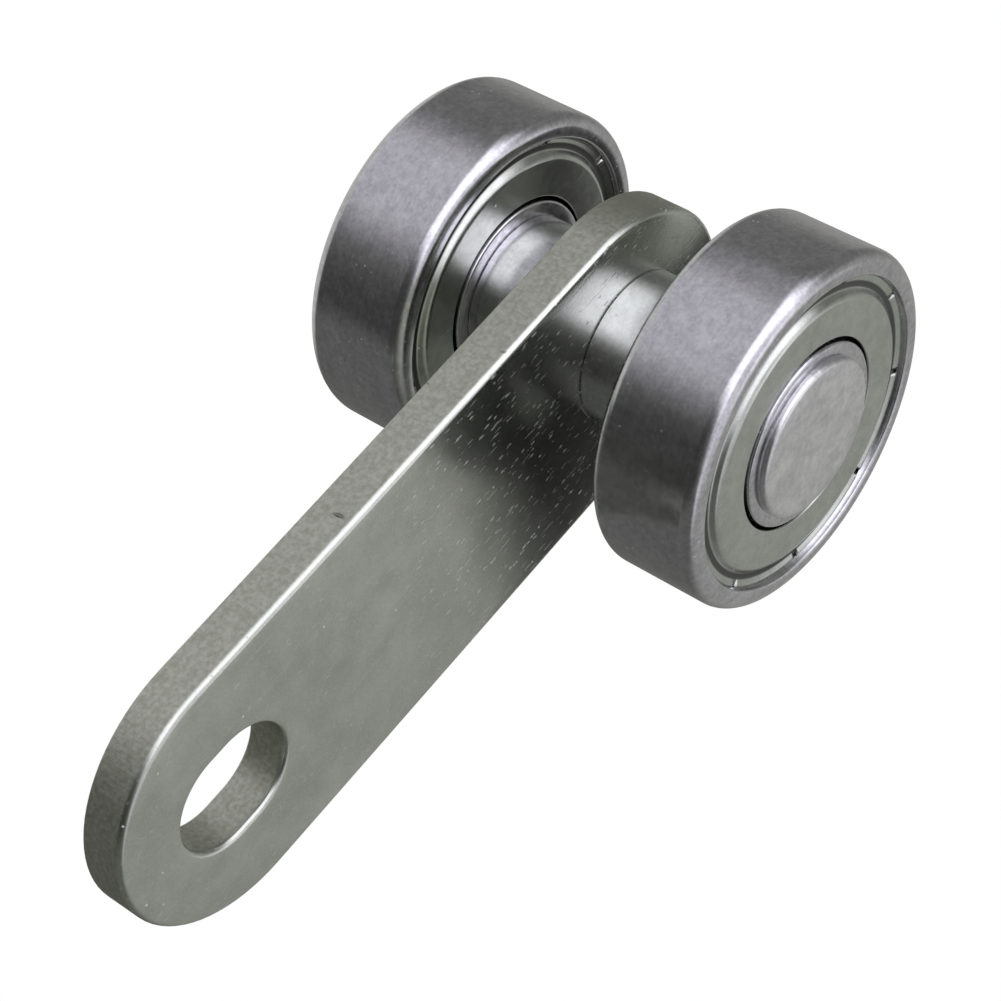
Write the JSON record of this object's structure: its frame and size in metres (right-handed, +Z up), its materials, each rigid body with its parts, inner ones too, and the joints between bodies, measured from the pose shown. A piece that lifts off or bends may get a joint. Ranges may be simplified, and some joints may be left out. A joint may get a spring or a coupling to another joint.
{
  "type": "sliding door roller",
  "caption": "Flat steel hanger plate with a slotted lower end and a riveted axle at its upper end that carries a shielded ball bearing wheel on each side.",
  "frame": {"origin": "centre of the axle, on the hanger plate's mid-plane, halfway between the two wheels", "axes": "+Z up with the plate hanging down -Z, +Y along the axle from the front wheel to the back wheel, +X along the direction of travel"},
  "size_m": [0.022, 0.0293, 0.0544],
  "materials": {
    "zinc_plate": "zinc plated, satin, with a faint olive tint",
    "pin_steel": "satin",
    "spacer_steel": "bright turned",
    "ring_steel": "ground and polished",
    "shield_steel": "pressed, satin",
    "cage_steel": "pressed, satin",
    "ball_steel": "polished"
  },
  "bodies": {
    "hanger": {"hanger_plate": "zinc_plate", "axle_pin": "pin_steel", "front_spacer": "spacer_steel", "back_spacer": "spacer_steel", "front_inner_ring": "ring_steel", "back_inner_ring": "ring_steel"},
    "front_wheel": {"front_outer_ring": "ring_steel", "front_inboard_shield": "shield_steel", "front_outboard_shield": "shield_steel"},
    "front_cage": {"front_cage_inboard_half": "cage_steel", "front_cage_outboard_half": "cage_steel", "front_cage_rivets": "cage_steel"},
    "front_ball_1": {"front_ball_1": "ball_steel"},
    "front_ball_2": {"front_ball_2": "ball_steel"},
    "front_ball_3": {"front_ball_3": "ball_steel"},
    "front_ball_4": {"front_ball_4": "ball_steel"},
    "front_ball_5": {"front_ball_5": "ball_steel"},
    "front_ball_6": {"front_ball_6": "ball_steel"},
    "front_ball_7": {"front_ball_7": "ball_steel"},
    "back_wheel": {"back_outer_ring": "ring_steel", "back_inboard_shield": "shield_steel", "back_outboard_shield": "shield_steel"},
    "back_cage": {"back_cage_inboard_half": "cage_steel", "back_cage_outboard_half": "cage_steel", "back_cage_rivets": "cage_steel"},
    "back_ball_1": {"back_ball_1": "ball_steel"},
    "back_ball_2": {"back_ball_2": "ball_steel"},
    "back_ball_3": {"back_ball_3": "ball_steel"},
    "back_ball_4": {"back_ball_4": "ball_steel"},
    "back_ball_5": {"back_ball_5": "ball_steel"},
    "back_ball_6": {"back_ball_6": "ball_steel"},
    "back_ball_7": {"back_ball_7": "ball_steel"}
  },
  "joints": [
    {"name": "front_wheel_spin", "type": "hinge", "parent": "hanger", "child": "front_wheel", "pos_m": [0, -0.01045, 0], "axis": [0, 1, 0], "continuous": true},
    {"name": "front_cage_spin", "type": "hinge", "parent": "hanger", "child": "front_cage", "pos_m": [0, -0.01045, 0], "axis": [0, 1, 0], "continuous": true},
    {"name": "front_ball_1_roll", "type": "hinge", "parent": "front_cage", "child": "front_ball_1", "pos_m": [0, -0.01045, 0.0075], "axis": [0, 1, 0], "continuous": true},
    {"name": "front_ball_2_roll", "type": "hinge", "parent": "front_cage", "child": "front_ball_2", "pos_m": [0.00586, -0.01045, 0.00468], "axis": [0, 1, 0], "continuous": true},
    {"name": "front_ball_3_roll", "type": "hinge", "parent": "front_cage", "child": "front_ball_3", "pos_m": [0.00731, -0.01045, -0.00167], "axis": [0, 1, 0], "continuous": true},
    {"name": "front_ball_4_roll", "type": "hinge", "parent": "front_cage", "child": "front_ball_4", "pos_m": [0.00325, -0.01045, -0.00676], "axis": [0, 1, 0], "continuous": true},
    {"name": "front_ball_5_roll", "type": "hinge", "parent": "front_cage", "child": "front_ball_5", "pos_m": [-0.00325, -0.01045, -0.00676], "axis": [0, 1, 0], "continuous": true},
    {"name": "front_ball_6_roll", "type": "hinge", "parent": "front_cage", "child": "front_ball_6", "pos_m": [-0.00731, -0.01045, -0.00167], "axis": [0, 1, 0], "continuous": true},
    {"name": "front_ball_7_roll", "type": "hinge", "parent": "front_cage", "child": "front_ball_7", "pos_m": [-0.00586, -0.01045, 0.00468], "axis": [0, 1, 0], "continuous": true},
    {"name": "back_wheel_spin", "type": "hinge", "parent": "hanger", "child": "back_wheel", "pos_m": [0, 0.01045, 0], "axis": [0, 1, 0], "continuous": true},
    {"name": "back_cage_spin", "type": "hinge", "parent": "hanger", "child": "back_cage", "pos_m": [0, 0.01045, 0], "axis": [0, 1, 0], "continuous": true},
    {"name": "back_ball_1_roll", "type": "hinge", "parent": "back_cage", "child": "back_ball_1", "pos_m": [0, 0.01045, 0.0075], "axis": [0, 1, 0], "continuous": true},
    {"name": "back_ball_2_roll", "type": "hinge", "parent": "back_cage", "child": "back_ball_2", "pos_m": [0.00586, 0.01045, 0.00468], "axis": [0, 1, 0], "continuous": true},
    {"name": "back_ball_3_roll", "type": "hinge", "parent": "back_cage", "child": "back_ball_3", "pos_m": [0.00731, 0.01045, -0.00167], "axis": [0, 1, 0], "continuous": true},
    {"name": "back_ball_4_roll", "type": "hinge", "parent": "back_cage", "child": "back_ball_4", "pos_m": [0.00325, 0.01045, -0.00676], "axis": [0, 1, 0], "continuous": true},
    {"name": "back_ball_5_roll", "type": "hinge", "parent": "back_cage", "child": "back_ball_5", "pos_m": [-0.00325, 0.01045, -0.00676], "axis": [0, 1, 0], "continuous": true},
    {"name": "back_ball_6_roll", "type": "hinge", "parent": "back_cage", "child": "back_ball_6", "pos_m": [-0.00731, 0.01045, -0.00167], "axis": [0, 1, 0], "continuous": true},
    {"name": "back_ball_7_roll", "type": "hinge", "parent": "back_cage", "child": "back_ball_7", "pos_m": [-0.00586, 0.01045, 0.00468], "axis": [0, 1, 0], "continuous": true}
  ],
  "couplings": [
    {"joint": "front_cage_spin", "follows": "front_wheel_spin", "ratio": 0.6323},
    {"joint": "front_ball_1_roll", "follows": "front_wheel_spin", "ratio": 1.7573},
    {"joint": "front_ball_2_roll", "follows": "front_wheel_spin", "ratio": 1.7573},
    {"joint": "front_ball_3_roll", "follows": "front_wheel_spin", "ratio": 1.7573},
    {"joint": "front_ball_4_roll", "follows": "front_wheel_spin", "ratio": 1.7573},
    {"joint": "front_ball_5_roll", "follows": "front_wheel_spin", "ratio": 1.7573},
    {"joint": "front_ball_6_roll", "follows": "front_wheel_spin", "ratio": 1.7573},
    {"joint": "front_ball_7_roll", "follows": "front_wheel_spin", "ratio": 1.7573},
    {"joint": "back_cage_spin", "follows": "back_wheel_spin", "ratio": 0.6323},
    {"joint": "back_ball_1_roll", "follows": "back_wheel_spin", "ratio": 1.7573},
    {"joint": "back_ball_2_roll", "follows": "back_wheel_spin", "ratio": 1.7573},
    {"joint": "back_ball_3_roll", "follows": "back_wheel_spin", "ratio": 1.7573},
    {"joint": "back_ball_4_roll", "follows": "back_wheel_spin", "ratio": 1.7573},
    {"joint": "back_ball_5_roll", "follows": "back_wheel_spin", "ratio": 1.7573},
    {"joint": "back_ball_6_roll", "follows": "back_wheel_spin", "ratio": 1.7573},
    {"joint": "back_ball_7_roll", "follows": "back_wheel_spin", "ratio": 1.7573}
  ]
}
